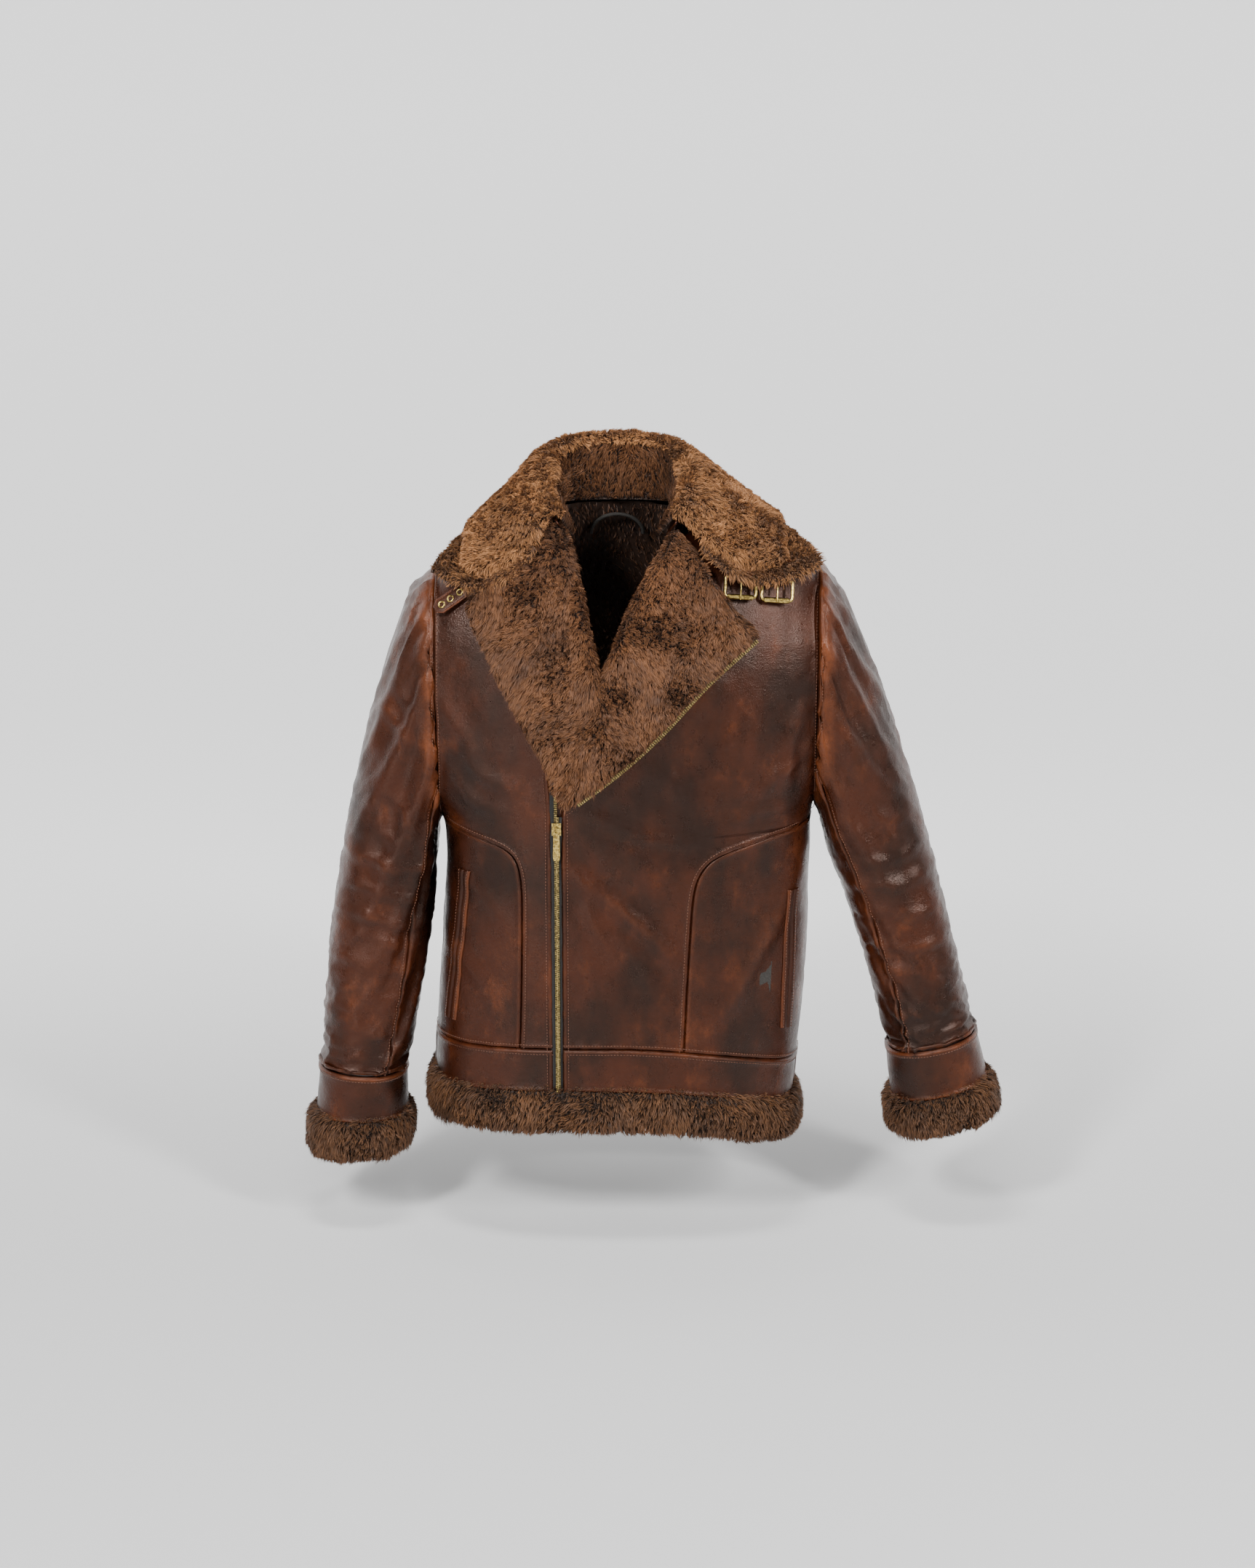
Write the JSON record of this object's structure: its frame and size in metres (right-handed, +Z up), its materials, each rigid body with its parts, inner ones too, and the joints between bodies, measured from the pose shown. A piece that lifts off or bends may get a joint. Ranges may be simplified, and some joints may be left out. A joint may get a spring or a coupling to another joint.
{
  "type": "leather riding jacket",
  "caption": "Leather riding jacket with fur collar, wide lapels, hem and cuffs, closed by a slanting front zip; roller buckles and an eyelet strap hang from the collar ends.",
  "frame": {"origin": "centre of the neck opening, at the height of the nape", "axes": "+X the wearer's left, -Y the front, +Z up"},
  "size_m": [0.8086, 0.2842, 0.8174],
  "materials": {
    "leather": "distressed brown, semi-gloss with rubbed lighter patches and fine pebble grain",
    "fur": "deep faux shearling, brown with lighter tips",
    "lining": "short brown fleece",
    "brass": "antique brass, worn bright on the edges",
    "tape": "woven black zip tape",
    "cotton": "dark plain weave"
  },
  "bodies": {
    "jacket_body": {"back_hem_band": "leather", "back_lining": "lining", "back_panel": "leather", "back_yoke": "leather", "collar_back_fur": "fur", "collar_back_leather": "leather", "collar_stand": "leather", "collar_stand_fur": "fur", "hanger_loop": "cotton", "hem_fur_trim": "fur", "left_front_lining": "lining", "left_front_panel": "leather", "left_hem_band": "leather", "left_pocket_bag": "cotton", "left_pocket_welt": "leather", "left_side_panel": "leather", "right_front_lining": "lining", "right_front_panel": "leather", "right_hem_band": "leather", "right_pocket_bag": "cotton", "right_pocket_welt": "leather", "right_side_panel": "leather", "wind_flap": "leather", "zip_bottom_stop": "brass", "zip_tape_left": "tape", "zip_tape_right": "tape", "zip_teeth_left": "brass", "zip_teeth_right": "brass"},
    "sleeve_right": {"sleeve_right_top": "leather", "sleeve_right_under": "leather", "sleeve_right_lining": "lining", "cuff_band_right": "leather", "cuff_fur_right": "fur"},
    "sleeve_left": {"sleeve_left_top": "leather", "sleeve_left_under": "leather", "sleeve_left_lining": "lining", "cuff_band_left": "leather", "cuff_fur_left": "fur"},
    "collar_left": {"collar_left_leather": "leather", "collar_left_fur": "fur", "buckle_chape_inner": "leather", "buckle_chape_outer": "leather"},
    "collar_right": {"collar_right_leather": "leather", "collar_right_fur": "fur"},
    "lapel_left": {"lapel_left_leather": "leather", "lapel_left_fur": "fur", "lapel_zip_teeth": "brass"},
    "lapel_right": {"lapel_right_leather": "leather", "lapel_right_fur": "fur"},
    "zip_slider": {"zip_slider": "brass"},
    "zip_pull": {"zip_pull": "brass"},
    "buckle_frame_inner": {"buckle_frame_inner": "brass"},
    "buckle_prong_inner": {"buckle_prong_inner": "brass"},
    "buckle_roller_inner": {"buckle_roller_inner": "brass"},
    "buckle_frame_outer": {"buckle_frame_outer": "brass"},
    "buckle_prong_outer": {"buckle_prong_outer": "brass"},
    "buckle_roller_outer": {"buckle_roller_outer": "brass"},
    "eyelet_strap": {"eyelet_strap": "leather"}
  },
  "joints": [
    {"name": "shoulder_right", "type": "hinge", "parent": "jacket_body", "child": "sleeve_right", "pos_m": [-0.203, -0.012, -0.222], "axis": [-1, 0, 0], "range_deg": [-25, 75]},
    {"name": "shoulder_left", "type": "hinge", "parent": "jacket_body", "child": "sleeve_left", "pos_m": [0.226, -0.012, -0.222], "axis": [-1, 0, 0], "range_deg": [-25, 75]},
    {"name": "collar_right_fold", "type": "hinge", "parent": "jacket_body", "child": "collar_right", "pos_m": [-0.0675, -0.015, 0.0055], "axis": [-0.021, 0.9104, 0.4132], "range_deg": [0, 70]},
    {"name": "collar_left_fold", "type": "hinge", "parent": "jacket_body", "child": "collar_left", "pos_m": [0.0675, -0.015, 0.0055], "axis": [-0.021, -0.9104, -0.4132], "range_deg": [0, 70]},
    {"name": "lapel_right_fold", "type": "hinge", "parent": "jacket_body", "child": "lapel_right", "pos_m": [-0.025, -0.14, -0.2133], "axis": [0, 0.1875, 0.9823], "range_deg": [0, 40]},
    {"name": "lapel_left_fold", "type": "hinge", "parent": "jacket_body", "child": "lapel_left", "pos_m": [-0.0185, -0.14, -0.2113], "axis": [-0.3594, -0.1649, -0.9185], "range_deg": [0, 45]},
    {"name": "zip_run", "type": "slide", "parent": "jacket_body", "child": "zip_slider", "axis": [0, 0.0147, -0.9999], "range_m": [0, 0.277]},
    {"name": "zip_pull_swing", "type": "hinge", "parent": "zip_slider", "child": "zip_pull", "pos_m": [-0.067, -0.13132, -0.35706], "axis": [-1, 0, 0], "range_deg": [0, 150]},
    {"name": "buckle_inner_bar", "type": "hinge", "parent": "collar_left", "child": "buckle_frame_inner", "pos_m": [0.13656, -0.09534, -0.07973], "axis": [-0.9939, -0.0807, 0.0749], "range_deg": [0, 80]},
    {"name": "buckle_inner_prong_swing", "type": "hinge", "parent": "buckle_frame_inner", "child": "buckle_prong_inner", "pos_m": [0.13656, -0.09534, -0.07973], "axis": [-0.9939, -0.0807, 0.0749], "range_deg": [0, 60]},
    {"name": "buckle_inner_roller_spin", "type": "hinge", "parent": "buckle_frame_inner", "child": "buckle_roller_inner", "pos_m": [0.13537, -0.10091, -0.1015], "axis": [0.9939, 0.0807, -0.0749], "continuous": true},
    {"name": "buckle_outer_bar", "type": "hinge", "parent": "collar_left", "child": "buckle_frame_outer", "pos_m": [0.1769, -0.08418, -0.08589], "axis": [-0.9949, -0.0687, 0.0734], "range_deg": [0, 80]},
    {"name": "buckle_outer_prong_swing", "type": "hinge", "parent": "buckle_frame_outer", "child": "buckle_prong_outer", "pos_m": [0.1769, -0.08418, -0.08589], "axis": [-0.9949, -0.0687, 0.0734], "range_deg": [0, 60]},
    {"name": "buckle_outer_roller_spin", "type": "hinge", "parent": "buckle_frame_outer", "child": "buckle_roller_outer", "pos_m": [0.17598, -0.09296, -0.10658], "axis": [0.9949, 0.0687, -0.0734], "continuous": true},
    {"name": "strap_root", "type": "hinge", "parent": "collar_right", "child": "eyelet_strap", "pos_m": [-0.15708, -0.08259, -0.08993], "axis": [-0.4345, 0.6101, 0.6626], "range_deg": [0, 60]}
  ]
}
